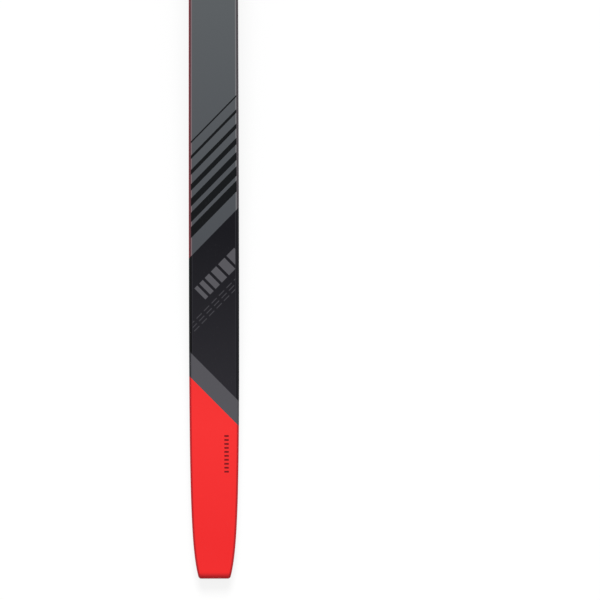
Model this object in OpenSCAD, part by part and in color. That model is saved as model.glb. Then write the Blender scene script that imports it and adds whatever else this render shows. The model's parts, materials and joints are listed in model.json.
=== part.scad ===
// Cross-country skate ski, laminated in layers, with a sliding two-piece plate binding.
// Millimetres. X runs across the ski, Y from tail to tip, Z up from the floor that the ski rests on.

/* [Ski outline] */
// Length from tail to tip
ski_length = 1860; // [1500:10:2300]
// Widest place of the tail
tail_width = 43; // [36:0.5:52]
// Distance of that widest place from the tail end
tail_wide_at = 250; // [200:5:350]
// Width of the squared tail end
tail_end_width = 26.6; // [20:0.2:34]
// Length over which the tail narrows
tail_taper = 245; // [150:5:300]
// How close to the end the tail narrows most, smaller is closer
tail_knee = 36; // [30:1:90]
// Corner radius of the tail end, seen from above
tail_corner_r = 1.8; // [1:0.1:5]
// Width under the boot
waist_width = 41; // [38:0.5:50]
// Widest place of the shovel
shovel_width = 43; // [36:0.5:52]
// Distance of that widest place from the tip
shovel_from_tip = 380; // [300:5:450]
// Length over which the nose narrows
nose_taper = 260; // [160:5:290]
// Width of the blunt nose
nose_width = 6; // [4:0.5:12]

/* [Ski profile] */
// Height of the arch under the unloaded ski
camber = 25; // [10:0.5:32]
// Distance of the rear contact line from the tail end
rear_contact = 120; // [80:5:180]
// Distance of the front contact line from the tip
front_contact_from_tip = 360; // [250:5:420]
// Rise of the base at the tail end
tail_rise = 6; // [2:0.5:12]
// Rise of the base at the tip
tip_rise = 45; // [25:1:70]
// Thickness at the top of the arch, under the boot
mid_thickness = 25; // [18:0.5:32]
// Thickness near the tail end
tail_thickness = 8.6; // [5:0.1:12]
// Rounding of the upper edge at the tail end
tail_round_r = 4.8; // [1:0.1:6]
// Thickness of the tip
tip_thickness = 5.2; // [4.6:0.1:8]

/* [Layers] */
// Thickness of the sintered running base
base_t = 1.3; // [1:0.1:1.6]
// Thickness of each fibre laminate
laminate_t = 0.8; // [0.5:0.1:1]
// Thickness of the printed top sheet
sheet_t = 0.6; // [0.4:0.1:0.8]
// Width of each sidewall
sidewall_w = 2.2; // [1.8:0.1:3]
// Width of the bevel along the upper edges, seen from above
bevel_w = 1.7; // [0.8:0.1:1.8]
// Height of that bevel
bevel_h = 2.4; // [1:0.1:3]
// Width of the running groove at the base surface
groove_w = 6; // [4:0.2:8]
// Width of the groove at its floor
groove_floor_w = 4; // [2:0.2:4]
// Depth of the groove
groove_d = 1.1; // [0.5:0.1:1.5]
// Length of the solid tail block between the laminates
tail_block = 40; // [25:1:60]
// Length of the solid tip block between the laminates
tip_block = 70; // [40:1:100]

/* [Binding plate] */
// Distance of the boot bar from the tail end
bar_from_tail = 850; // [780:5:950]
// Length of the plate behind the boot bar
plate_behind = 295; // [290:1:310]
// Length of the plate ahead of the boot bar
plate_ahead = 112; // [110:1:130]
// Width of the plate's sliding flange
flange_w = 40; // [36:0.5:50]
// Thickness of the flange
flange_t = 2; // [1.5:0.1:3]
// Width of the plate's foot, under the flange
foot_w = 32; // [26:0.5:33]
// Height of the foot, which leaves room for the shoes' hooks
foot_h = 1.9; // [1.8:0.1:4]
// Radius of the plate screws' shank
screw_r = 1.8; // [1.2:0.1:2.4]
// Length of the plate screws
screw_length = 16; // [10:0.5:17]

/* [Binding] */
// Diameter of the boot's toe bar
bar_d = 4; // [3.2:0.1:4.8]
// Thickness of the deck that the boot sole stands on
deck_t = 2.6; // [2:0.1:3.5]
// Wall of the shoe beside the flange
shoe_wall = 2.4; // [1.8:0.1:3.5]
// Running gap between the shoes and the plate
rail_gap = 0.3; // [0.2:0.05:0.4]
// Length of the heel unit
heel_length = 130; // [110:1:150]
// Height of the guide ridges above the deck
ridge_h = 5; // [3:0.5:6]
// Width of a guide ridge
ridge_w = 7; // [5:0.5:8]
// Distance between the middles of the two ridges
ridge_pitch = 24; // [22:0.5:28]
// Thickness of the rubber heel pad
pad_t = 3.8; // [3:0.1:5]
// Width of the release lever
lever_w = 20; // [17:0.5:22]
// Radius of the lever's hinge pin
pin_r = 2; // [1.5:0.1:2.2]
// Opening angle of the release lever
lever_open = 80; // [60:1:80]
// Height of the hinge pin above the deck
hinge_up = 8.3; // [8.2:0.1:10]

/* [Hidden] */
$fn = 48;
slack = 0.06;   // radial clearance of a turning fit
free = 0.3;     // gap between pieces that pass each other
film = 0.02;    // radial clearance of a seated fit
over = 1;       // how far a cut reaches past the face that it opens

// Places along the ski, as distances from the tail end.
front_contact = ski_length - front_contact_from_tip;
shovel_at = ski_length - shovel_from_tip;
tip_block_at = ski_length - tip_block;
plate_from = bar_from_tail - plate_behind;
plate_to = bar_from_tail + plate_ahead;
platform_margin = 12;
platform_from = plate_from - platform_margin;
platform_to = plate_to + platform_margin;
groove_from = tail_block;
groove_past_contact = 150;
groove_to = front_contact + groove_past_contact;
groove_fade = 60;
thin_past_contact = 200;
thin_from = front_contact + thin_past_contact;

// Stations: close together where the outline turns, wide apart in the straight middle.
tail_steps = 14;
tip_steps = 16;
taper_step = 14;
rear_step = 36;
platform_step = 54;
front_step = 44;
shovel_step = 20;
function spread(from, to, step) =
    let (n = max(2, ceil((to - from) / step))) [for (i = [0:n - 1]) from + (to - from) * i / n];
stations = [
    for (i = [0:tail_steps - 1]) tail_block * pow(i / tail_steps, 2),
    each spread(tail_block, rear_contact, taper_step),
    each spread(rear_contact, platform_from, rear_step),
    each spread(platform_from, platform_to, platform_step),
    each spread(platform_to, front_contact, front_step),
    each spread(front_contact, tip_block_at, shovel_step),
    for (i = [0:tip_steps - 1]) ski_length - tip_block * pow(1 - i / tip_steps, 2),
    ski_length];

// Outline, seen from above.
nose_power = 2.2;
function ease(t) = (1 - cos(180 * t)) / 2;
function mix(a, b, t) = a + (b - a) * t;
function sidecut(s) =
    s < tail_wide_at ? tail_width
    : s < bar_from_tail
    ? mix(tail_width, waist_width, ease((s - tail_wide_at) / (bar_from_tail - tail_wide_at)))
    : s < shovel_at
    ? mix(waist_width, shovel_width, ease((s - bar_from_tail) / (shovel_at - bar_from_tail)))
    : shovel_width;
function tail_cut(s) =
    s < tail_taper
    ? (tail_width - tail_end_width) * pow(1 - s / tail_taper, 2) / (1 + s / tail_knee) : 0;
function nose_share(s) =
    let (d = ski_length - s)
    d < nose_taper ? pow(1 - pow(1 - d / nose_taper, nose_power), 1 / nose_power) : 1;
function rounded_off(s, r) = s < r ? r - sqrt(r * r - (r - s) * (r - s)) : 0;
function half_width(s) =
    mix(nose_width, sidecut(s) - tail_cut(s), nose_share(s)) / 2 - rounded_off(s, tail_corner_r);

// Profile, seen from the side.
tip_power = 2.4;
arch_mid = (rear_contact + front_contact) / 2;
arch_half = (front_contact - rear_contact) / 2;
platform_z = camber + mid_thickness;
arch_power = 3;
tail_swell = 0.02;
slope_step = 0.5;
function base_z(s) =
    s < rear_contact ? tail_rise * pow(1 - s / rear_contact, 2)
    : s > front_contact ? tip_rise * pow((s - front_contact) / front_contact_from_tip, tip_power)
    : camber * pow(1 - pow(abs(s - arch_mid) / arch_half, arch_power), 2);
function base_slope(s) = (base_z(s + slope_step) - base_z(s - slope_step)) / (2 * slope_step);
function cubic(t, h, a, slope_a, b, slope_b) =
    (2 * t * t * t - 3 * t * t + 1) * a + (t * t * t - 2 * t * t + t) * h * slope_a
    + (3 * t * t - 2 * t * t * t) * b + (t * t * t - t * t) * h * slope_b;
function thickness(s) =
    s < platform_from
    ? cubic(s / platform_from, platform_from, tail_thickness, tail_swell,
            platform_z - base_z(platform_from), -base_slope(platform_from))
    : s < platform_to ? platform_z - base_z(s)
    : s < thin_from
    ? cubic((s - platform_to) / (thin_from - platform_to), thin_from - platform_to,
            platform_z - base_z(platform_to), -base_slope(platform_to), tip_thickness, 0)
    : tip_thickness;
thinnest_core = 0.3;
tail_round = min(tail_round_r, tail_thickness - base_t - 2 * laminate_t - sheet_t - thinnest_core);
function top_z(s) = base_z(s) + thickness(s) - rounded_off(s, tail_round);

// Layer heights. The core fills what the base, the laminates and the sheet leave.
function core_floor(s) = base_z(s) + base_t + laminate_t;
function core_top(s) = top_z(s) - sheet_t - laminate_t;
bevel_share = 0.7;
function bevel_height(s) = min(bevel_h, bevel_share * (core_top(s) - core_floor(s)));
groove_trace = 0.02;
function groove_depth(s) =
    let (reach = min(s - groove_from, groove_to - s) / groove_fade)
    mix(groove_trace, groove_d, ease(max(0, min(1, reach))));

// Lines across the ski at one station, from left to right, as [x, z] points.
function flipped(line) = [for (i = [len(line) - 1:-1:0]) [-line[i][0], line[i][1]]];
function mirrored_line(right) = concat(flipped(right), right);
groove_share = 0.5;         // most of the half width that the groove takes where the ski is narrow
groove_floor_share = 0.3;   // the same for the groove's floor
function groove_half(half) = min(groove_w / 2, groove_share * half);
function groove_floor_half(half) = min(groove_floor_w / 2, groove_floor_share * half);
function under_line(s, lift, half) =
    let (z = base_z(s) + lift, d = groove_depth(s))
    mirrored_line([[groove_floor_half(half), z + d], [groove_half(half), z], [half, z]]);
function over_line(s, drop) =
    let (half = half_width(s), z = top_z(s) - drop)
    mirrored_line([[half - bevel_w, z], [half, z - bevel_height(s)]]);

// Sections at one station: a lower and an upper line with as many points each.
function sheet_below(s, lift, t) =
    [under_line(s, lift, half_width(s)), under_line(s, lift + t, half_width(s))];
function sheet_above(s, drop, t) = [over_line(s, drop + t), over_line(s, drop)];
function core_half(s) = half_width(s) - sidewall_w;
function solid_core(s) =
    let (c = core_half(s), z = core_top(s))
    [under_line(s, base_t + laminate_t, c),
     mirrored_line([[groove_floor_half(c), z], [groove_half(c), z], [c, z]])];
channel_mid = 0.56;     // place of an air channel, as a share of the core's half width
channel_floor = 0.15;   // half of its floor, and of its mouth, as such shares
channel_mouth = 0.2;
channel_depth = 0.55;   // its depth, as a share of the core's height
function hollow_core(s) =
    let (c = core_half(s), z = core_top(s), low = core_floor(s), deep = z - channel_depth * (z - low),
         floor_in = (channel_mid - channel_floor) * c, floor_out = (channel_mid + channel_floor) * c,
         mouth_in = (channel_mid - channel_mouth) * c, mouth_out = (channel_mid + channel_mouth) * c)
    [mirrored_line([[groove_floor_half(c), low + groove_depth(s)], [groove_half(c), low],
                    [floor_out, low], [mouth_out, low], [c, low]]),
     mirrored_line([[mouth_in, z], [floor_in, deep], [floor_out, deep], [mouth_out, z], [c, z]])];
function tip_fill(s) =
    let (half = half_width(s), z = top_z(s) - sheet_t - laminate_t)
    [under_line(s, base_t + laminate_t, half),
     mirrored_line([[groove_floor_half(half), z], [half - bevel_w, z], [half, z - bevel_height(s)]])];
function edge_wall(s) =
    let (half = half_width(s), c = core_half(s), z = core_top(s), low = core_floor(s))
    [[[c, low], [half - bevel_w, low], [half, low]],
     [[c, z], [half - bevel_w, z], [half, z - bevel_height(s)]]];

// Solid through the sections at the given places along the ski.
// Quads are split the same way on both sides of a shared surface, so that layers meet exactly.
module skin(sections, places) {
    n = len(sections[0][0]);
    ring = 2 * n;
    m = len(sections);
    function low(i, j) = i * ring + j;
    function high(i, j) = i * ring + n + j;
    points = [for (i = [0:m - 1]) for (line = sections[i]) for (p = line)
        [p[0], places[i] - ski_length / 2, p[1]]];
    faces = [
        for (i = [0:m - 2]) for (j = [0:n - 2]) each [
            [low(i, j), low(i, j + 1), low(i + 1, j + 1)],
            [low(i, j), low(i + 1, j + 1), low(i + 1, j)],
            [high(i, j), high(i + 1, j + 1), high(i, j + 1)],
            [high(i, j), high(i + 1, j), high(i + 1, j + 1)]],
        for (i = [0:m - 2]) each [
            [low(i, n - 1), high(i, n - 1), high(i + 1, n - 1)],
            [low(i, n - 1), high(i + 1, n - 1), low(i + 1, n - 1)],
            [low(i, 0), high(i + 1, 0), high(i, 0)],
            [low(i, 0), low(i + 1, 0), high(i + 1, 0)]],
        for (j = [0:n - 2]) each [
            [low(0, j), high(0, j), high(0, j + 1)],
            [low(0, j), high(0, j + 1), low(0, j + 1)],
            [low(m - 1, j), high(m - 1, j + 1), high(m - 1, j)],
            [low(m - 1, j), low(m - 1, j + 1), high(m - 1, j + 1)]]];
    polyhedron(points, faces, convexity = 8);
}
near = 0.001;
function along(from, to) = [for (s = stations) if (s >= from - near && s <= to + near) s];

// Ski layers.
module running_base() {
    color("#1b1b1d") skin([for (s = stations) sheet_below(s, 0, base_t)], stations);
}

module lower_laminate() {
    color("#2c2f33") skin([for (s = stations) sheet_below(s, base_t, laminate_t)], stations);
}

module tail_block_insert() {
    places = along(0, tail_block);
    color("#202022") skin([for (s = places) solid_core(s)], places);
}

module rear_core() {
    places = along(tail_block, platform_from);
    color("#c8a46e") skin([for (s = places) hollow_core(s)], places);
}

module binding_core() {
    places = along(platform_from, platform_to);
    color("#a97b45") difference() {
        skin([for (s = places) solid_core(s)], places);
        at_plate_screws() translate([0, 0, plate_h - screw_length - free])
            cylinder(r = screw_r + film, h = screw_length);
    }
}

module front_core() {
    places = along(platform_to, tip_block_at);
    color("#c8a46e") skin([for (s = places) hollow_core(s)], places);
}

module tip_block_insert() {
    places = along(tip_block_at, ski_length);
    color("#202022") skin([for (s = places) tip_fill(s)], places);
}

module right_sidewall() {
    places = along(0, tip_block_at);
    color("#26262a") skin([for (s = places) edge_wall(s)], places);
}

module left_sidewall() {
    places = along(0, tip_block_at);
    color("#26262a") skin([for (s = places) [for (line = edge_wall(s)) flipped(line)]], places);
}

module upper_laminate() {
    color("#2c2f33") difference() {
        skin([for (s = stations) sheet_above(s, sheet_t, laminate_t)], stations);
        plate_screw_holes();
    }
}

module top_sheet() {
    color("#5a5e62") difference() {
        skin([for (s = stations) sheet_above(s, 0, sheet_t)], stations);
        plate_screw_holes();
    }
}

// Binding frame: origin on the ski's platform, under the boot bar.
plate_h = foot_h + flange_t;
shoe_half = flange_w / 2 + rail_gap + shoe_wall;
deck_under = plate_h + rail_gap;
deck_top = deck_under + deck_t;
module on_platform() { translate([0, bar_from_tail - ski_length / 2, platform_z]) children(); }
module along_y(from, to) {
    translate([0, to, 0]) rotate([90, 0, 0]) linear_extrude(to - from) children();
}
module across_x(width) {
    translate([-width / 2, 0, 0]) rotate([90, 0, 90]) linear_extrude(width) children();
}
module box(x, y, z) {
    translate([x[0], y[0], z[0]]) cube([x[1] - x[0], y[1] - y[0], z[1] - z[0]]);
}
module mirrored() { children(); mirror([1, 0, 0]) children(); }

// Binding plate, bonded to the top sheet and screwed into the dense core.
screw_head_r = 2 * screw_r;
screw_inset = 18;
screw_x = 10;
screw_rows = [screw_inset - plate_behind, plate_ahead - screw_inset];
module at_plate_screws() {
    on_platform() for (x = [-screw_x, screw_x], y = screw_rows) translate([x, y, 0]) children();
}
module plate_screw_holes() {
    at_plate_screws() translate([0, 0, -screw_length])
        cylinder(r = screw_r + film, h = 2 * screw_length);
}
module countersunk(gap) {
    translate([0, 0, plate_h - screw_r - free])
        cylinder(r1 = screw_r + gap, r2 = screw_head_r + gap, h = screw_r);
    translate([0, 0, plate_h - free - screw_length])
        cylinder(r = screw_r + gap, h = screw_length - screw_r);
}
plate_end_r = 6;
module rounded_rectangle(half, from, to, r) {
    for (x = [r - half, half - r], y = [from + r, to - r]) translate([x, y]) circle(r);
    translate([-half, from + r]) square([2 * half, to - from - 2 * r]);
    translate([r - half, from]) square([2 * (half - r), to - from]);
}
module plate_outline(width) { rounded_rectangle(width / 2, -plate_behind, plate_ahead, plate_end_r); }
rack_pitch = 5;
rack_slot = 2;
rack_w = 8;
rack_d = 0.8;
rack_margin = 30;
module binding_plate() {
    color("#232427") difference() {
        on_platform() {
            linear_extrude(foot_h) plate_outline(foot_w);
            translate([0, 0, foot_h]) linear_extrude(flange_t) plate_outline(flange_w);
        }
        on_platform() for (y = [rack_margin - plate_behind:rack_pitch:plate_ahead - rack_margin])
            box([-rack_w / 2, rack_w / 2], [y, y + rack_slot], [plate_h - rack_d, plate_h + over]);
        at_plate_screws() {
            countersunk(film);
            translate([0, 0, plate_h - free]) cylinder(r = screw_head_r + film, h = over);
        }
    }
}

cross_w = 1;
cross_d = 1.2;
module plate_screws() {
    color("#8b8d90") at_plate_screws() difference() {
        countersunk(0);
        for (turn = [0, 90]) rotate(turn)
            box([-screw_r, screw_r], [-cross_w / 2, cross_w / 2], [plate_h - free - cross_d, plate_h]);
    }
}

// Shoe that wraps the plate's flange, shared by the toe and heel units.
sole_gap = 0.6;     // gap between the shoe and the top sheet
module shoe_section() {
    flange_half = flange_w / 2 + rail_gap;
    foot_half = foot_w / 2 + rail_gap;
    difference() {
        translate([-shoe_half, sole_gap]) square([2 * shoe_half, deck_top - sole_gap]);
        translate([-flange_half, foot_h - rail_gap]) square([2 * flange_half, flange_t + 2 * rail_gap]);
        translate([-foot_half, 0]) square([2 * foot_half, foot_h]);
    }
}
ridge_slope = 6;
ridge_inset = 2;
module ridge(from, to) {
    mirrored() translate([ridge_pitch / 2, 0, 0]) across_x(ridge_w)
        polygon([[from, deck_top], [to, deck_top], [to - ridge_slope, deck_top + ridge_h],
                 [from + ridge_slope, deck_top + ridge_h]]);
}

// Toe unit. Its places are distances from the boot bar, forward positive.
toe_back = -44;
toe_front = 100;
toe_ridge_to = -9;
toe_corner_r = 10;
bar_up = 3.9;
bar_z = deck_top + bar_up;
bar_play = 0.1;
seat_r = bar_d / 2 + bar_play;
seat_half = 9;
seat_wall = 4;
seat_back = seat_r + seat_wall;
seat_lip = 0.2;
seat_front = seat_r + seat_lip;
seat_rise = 1.7;
jaw_inset = 2.5;
jaw_half = lever_w / 2 - jaw_inset;
jaw_plate_t = 1.4;
jaw_lift = 0.2;
jaw_top = deck_top + jaw_lift + jaw_plate_t;
jaw_web = 2.5;
hook_reach = 0.8;
hook_gap = 0.2;
hook_up = bar_z + seat_r + hook_gap;
hook_h = 2;
hook_chamfer = 1;
hinge_y = 40;
hinge_z = deck_top + hinge_up;
crank_r = 5;
crank_lead = 35;
crank_pin_r = 1.5;
arm_w = 2.2;
hub_wall = 2.2;
hub_r = pin_r + hub_wall;
arm_boss_wall = 1.4;
arm_boss_r = crank_pin_r + arm_boss_wall;
crank_y = hinge_y - crank_r * sin(crank_lead);
crank_z = hinge_z - crank_r * cos(crank_lead);
jaw_travel = crank_r * (sin(lever_open - crank_lead) + sin(crank_lead));
post_y = crank_y + crank_pin_r + free;
post_t = 3;
post_top = hinge_z - pin_r - free;
post_inset = 1.5;
post_half = jaw_half - post_inset;
lever_gap = 0.5;
well_half = lever_w / 2 + lever_gap;
cheek_inset = 1.2;
cheek_half = shoe_half - cheek_inset;
cheek_from = 30;
cheek_over_hub = 0.2;
cheek_rise = hinge_z + hub_r + cheek_over_hub;
cheek_chamfer = 4;
cheek_flat = 7;
cheek_nose_h = 2.4;
bumper_from = 13;
bumper_wall_h = 5;
bumper_wall = 4;
bumper_rail_gap = 0.2;
rail_top = jaw_top + free;
spring_wall = 62;
spring_wall_t = 2.4;
lock_r = 2.5;
lock_wall = 2;
lock_boss_r = lock_r + lock_wall;
lock_h = 5;
toe_lock_y = 80;

module lock_boss(y, h) { translate([0, y, deck_top]) cylinder(r = lock_boss_r, h = h); }
module lock_bore(y, h) { translate([0, y, plate_h]) cylinder(r = lock_r + film, h = h); }
module lock_screw(y) {
    socket_r = 1.5;
    socket_d = 2.4;
    translate([0, y, plate_h + free]) difference() {
        cylinder(r = lock_r, h = lock_h);
        translate([0, 0, lock_h - socket_d]) cylinder(r = socket_r, h = socket_d + over, $fn = 6);
    }
}

cheek_outline = [
    [cheek_from, deck_top], [cheek_from, cheek_rise - cheek_chamfer],
    [cheek_from + cheek_chamfer, cheek_rise], [hinge_y + cheek_flat, cheek_rise],
    [toe_front, deck_top + cheek_nose_h], [toe_front, deck_top]];
module toe_cheeks() {
    difference() {
        across_x(2 * cheek_half) polygon(cheek_outline);
        box([-well_half, well_half], [cheek_from - over, toe_front + over],
            [deck_top, cheek_rise + over]);
    }
}
module bumper_cradle() {
    length = [bumper_from, cheek_from];
    mirrored() {
        box([jaw_half + bumper_rail_gap, well_half], length, [deck_top, rail_top]);
        box([well_half, well_half + bumper_wall], length, [deck_top, deck_top + bumper_wall_h]);
    }
}
module spring_stop() {
    box([-well_half, well_half], [spring_wall, spring_wall + spring_wall_t], [deck_top, post_top]);
}
module hinge_bore() {
    translate([-shoe_half, hinge_y, hinge_z]) rotate([0, 90, 0])
        cylinder(r = pin_r + film, h = 2 * shoe_half);
}
module toe_housing() {
    lock_boss_h = 1.9;
    color("#2b2c30") on_platform() difference() {
        intersection() {
            union() {
                along_y(toe_back, toe_front) shoe_section();
                ridge(toe_back + ridge_inset, toe_ridge_to);
                toe_cheeks();
                bumper_cradle();
                spring_stop();
                lock_boss(toe_lock_y, lock_boss_h);
            }
            linear_extrude(2 * hinge_z) rounded_rectangle(shoe_half, toe_back, toe_front, toe_corner_r);
        }
        hinge_bore();
        lock_bore(toe_lock_y, lock_h + over);
    }
}

module bar_seat() {
    color("#9a9ca0") on_platform() across_x(2 * seat_half) difference() {
        union() {
            translate([-seat_back, deck_top]) square([seat_back + seat_front, bar_up]);
            translate([-seat_back, deck_top]) square([seat_back - seat_r, bar_up + seat_rise]);
        }
        translate([0, bar_z]) circle(seat_r);
    }
}

bumper_r = 3;
bumper_below_cheek = 1;
bumper_side_gap = 0.1;
module flexor() {
    front = cheek_from - film;
    top = cheek_rise - bumper_below_cheek;
    color("#3a3b3f") on_platform() across_x(2 * (well_half - bumper_side_gap)) {
        polygon([[bumper_from, rail_top], [front, rail_top], [front, top - bumper_r],
                 [front - bumper_r, top], [front - 2 * bumper_r, top], [bumper_from, rail_top + bumper_r]]);
        translate([front - bumper_r, top - bumper_r]) circle(bumper_r);
    }
}

module hinge_pin() {
    color("#9a9ca0") on_platform() translate([-cheek_half, hinge_y, hinge_z]) rotate([0, 90, 0])
        cylinder(r = pin_r, h = 2 * cheek_half);
}

module toe_lock_screw() { color("#8b8d90") on_platform() lock_screw(toe_lock_y); }

module jaw() {
    web_y = seat_front + free;
    plate_z = deck_top + jaw_lift;
    color("#9a9ca0") on_platform() {
        box([-jaw_half, jaw_half], [web_y, post_y + post_t], [plate_z, jaw_top]);
        across_x(2 * jaw_half)
            polygon([[web_y, plate_z], [web_y + jaw_web, plate_z], [web_y + jaw_web, hook_up + hook_h],
                     [hook_chamfer - hook_reach, hook_up + hook_h], [-hook_reach, hook_up + hook_chamfer],
                     [-hook_reach, hook_up], [web_y, hook_up]]);
        box([-post_half, post_half], [post_y, post_y + post_t], [plate_z, post_top]);
    }
}

// Closing spring of the jaw: one unbroken helical wire between the jaw's post and the housing's wall.
spring_wire_r = 0.5;
spring_r = 2.2;
spring_turns = 6;
turn_rings = 8;
wire_sides = 6;
spring_from = post_y + post_t + spring_wire_r + film;
spring_to = spring_wall - spring_wire_r - film;
spring_lift = 0.1;
spring_z = deck_top + spring_r + spring_wire_r + spring_lift;
spring_rings = spring_turns * turn_rings;
function wire_ring(i, from) =
    let (turn = 360 * i / turn_rings, y = mix(from, spring_to, i / spring_rings),
         lean = atan2((spring_to - from) / spring_turns, 2 * PI * spring_r))
    [for (k = [0:wire_sides - 1])
        let (a = 360 * k / wire_sides,
             out = spring_r + spring_wire_r * cos(a), side = spring_wire_r * sin(a))
        [out * sin(turn) - side * sin(lean) * cos(turn), y + side * cos(lean),
         spring_z + out * cos(turn) + side * sin(lean) * sin(turn)]];
function least_gap(from) = min([
    for (i = [0:spring_rings - turn_rings])
        for (p = wire_ring(i, from)) for (q = wire_ring(i + turn_rings, from)) norm(p - q)]);
module jaw_spring() {
    rings = [for (i = [0:spring_rings]) wire_ring(i, spring_from)];
    echo(least_gap_between_turns = least_gap(spring_from),
         least_gap_with_the_jaw_open = least_gap(spring_from + jaw_travel));
    n = wire_sides;
    sides = [for (i = [0:spring_rings - 1]) for (j = [0:n - 1])
        let (k = (j + 1) % n, a = i * n + j, b = i * n + k)
        each [[a, b, b + n], [a, b + n, a + n]]];
    first = [for (j = [1:n - 2]) [0, j + 1, j]];
    last = [for (j = [1:n - 2]) [spring_rings * n, spring_rings * n + j, spring_rings * n + j + 1]];
    color("#b5b7ba") on_platform() polyhedron([for (r = rings) each r], concat(sides, first, last));
}

lever_overhang = 1;
lever_tip = toe_front + lever_overhang;
lever_t = 3.4;
dimple_r = 3;
dimple_floor_r = 0.5;
dimple_d = 1.2;
dimple_from_tip = 12;
dimple_y = lever_tip - dimple_from_tip;
lever_crown = hinge_z + hub_r;
lever_over_deck = 2.4;
lever_low = deck_top + lever_over_deck;
lever_root_t = 3.7;
nose_top = 2;
nose_bottom = 1;
nose_up = 1.4;
nose_flat = 5;
function lever_top(y) = mix(lever_crown, lever_low + lever_t, (y - hinge_y) / (lever_tip - hinge_y));
module lever_paddle() {
    polygon([[hinge_y, lever_crown], [lever_tip - nose_top, lever_top(lever_tip - nose_top)],
             [lever_tip, lever_low + nose_up], [lever_tip - nose_bottom, lever_low],
             [lever_tip - nose_flat, lever_low], [hinge_y + hub_r, lever_crown - lever_root_t],
             [hinge_y, hinge_z]]);
}
module crank_arm() {
    toward = [-cos(crank_lead), sin(crank_lead)];
    polygon([[hinge_y, hinge_z] + hub_r * toward, [crank_y, crank_z] + arm_boss_r * toward,
             [crank_y, crank_z] - arm_boss_r * toward, [hinge_y, hinge_z] - hub_r * toward]);
    translate([hinge_y, hinge_z]) circle(hub_r);
    translate([crank_y, crank_z]) circle(arm_boss_r);
}
module tip_dimple() {
    translate([0, dimple_y, lever_top(dimple_y) - dimple_d])
        cylinder(r1 = dimple_floor_r, r2 = dimple_r, h = 2 * dimple_d);
}
module release_lever() {
    color("#d8262b") on_platform() difference() {
        union() {
            across_x(lever_w) lever_paddle();
            mirrored() translate([lever_w / 2 - arm_w / 2, 0, 0]) across_x(arm_w) crank_arm();
        }
        across_x(lever_w + over) translate([hinge_y, hinge_z]) circle(pin_r + slack);
        across_x(lever_w + over) translate([crank_y, crank_z]) circle(crank_pin_r + film);
        tip_dimple();
    }
}

module crank_pin() {
    color("#9a9ca0") on_platform() translate([-lever_w / 2, crank_y, crank_z]) rotate([0, 90, 0])
        cylinder(r = crank_pin_r, h = lever_w);
}

// Heel unit. Its back end stands a fixed distance in from the plate's end.
heel_inset = 22;
heel_back = heel_inset - plate_behind;
heel_front = heel_back + heel_length;
heel_corner_r = 8;
pad_length = 40;
pad_half = 17;
pad_inset = 5;
pad_corner_r = 4;
pad_sink = 0.8;
pad_from = heel_back + pad_inset;
pad_to = pad_from + pad_length;
pad_to_ridge = 4;
lock_from_end = 14;
heel_lock_y = heel_front - lock_from_end;
module pad_outline(gap) {
    rounded_rectangle(pad_half + gap, pad_from - gap, pad_to + gap, pad_corner_r + gap);
}
module heel_housing() {
    lock_boss_h = 2.4;
    color("#2b2c30") on_platform() difference() {
        intersection() {
            union() {
                along_y(heel_back, heel_front) shoe_section();
                ridge(pad_to + pad_to_ridge, heel_front - ridge_inset);
                lock_boss(heel_lock_y, lock_boss_h);
            }
            linear_extrude(2 * hinge_z) rounded_rectangle(shoe_half, heel_back, heel_front, heel_corner_r);
        }
        translate([0, 0, deck_top - pad_sink]) linear_extrude(pad_sink + over) pad_outline(film);
        lock_bore(heel_lock_y, lock_h + over);
    }
}

pad_grooves = 4;
pad_groove_w = 2;
pad_groove_d = 1;
pad_groove_margin = 4;
module heel_pad() {
    step = pad_length / (pad_grooves + 1);
    color("#3a3b3f") on_platform() difference() {
        translate([0, 0, deck_top - pad_sink]) linear_extrude(pad_t) pad_outline(0);
        for (y = [pad_from + step:step:pad_to - step / 2])
            box([pad_groove_margin - pad_half, pad_half - pad_groove_margin],
                [y - pad_groove_w / 2, y + pad_groove_w / 2],
                [deck_top - pad_sink + pad_t - pad_groove_d, deck_top + pad_t]);
    }
}

module heel_lock_screw() { color("#8b8d90") on_platform() lock_screw(heel_lock_y); }

running_base();
lower_laminate();
tail_block_insert();
rear_core();
binding_core();
front_core();
tip_block_insert();
left_sidewall();
right_sidewall();
upper_laminate();
top_sheet();
binding_plate();
plate_screws();
toe_housing();
bar_seat();
flexor();
hinge_pin();
toe_lock_screw();
jaw();
jaw_spring();
release_lever();
crank_pin();
heel_housing();
heel_pad();
heel_lock_screw();
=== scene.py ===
"""Looks of a cross-country skating ski with a sliding plate binding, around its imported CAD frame.

Metres. X runs across the ski, Y from tail to tip, Z up from the floor that the ski rests on.
"""
import json
import math

import bmesh
import bpy
import numpy as np
from mathutils import Matrix, Vector


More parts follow.
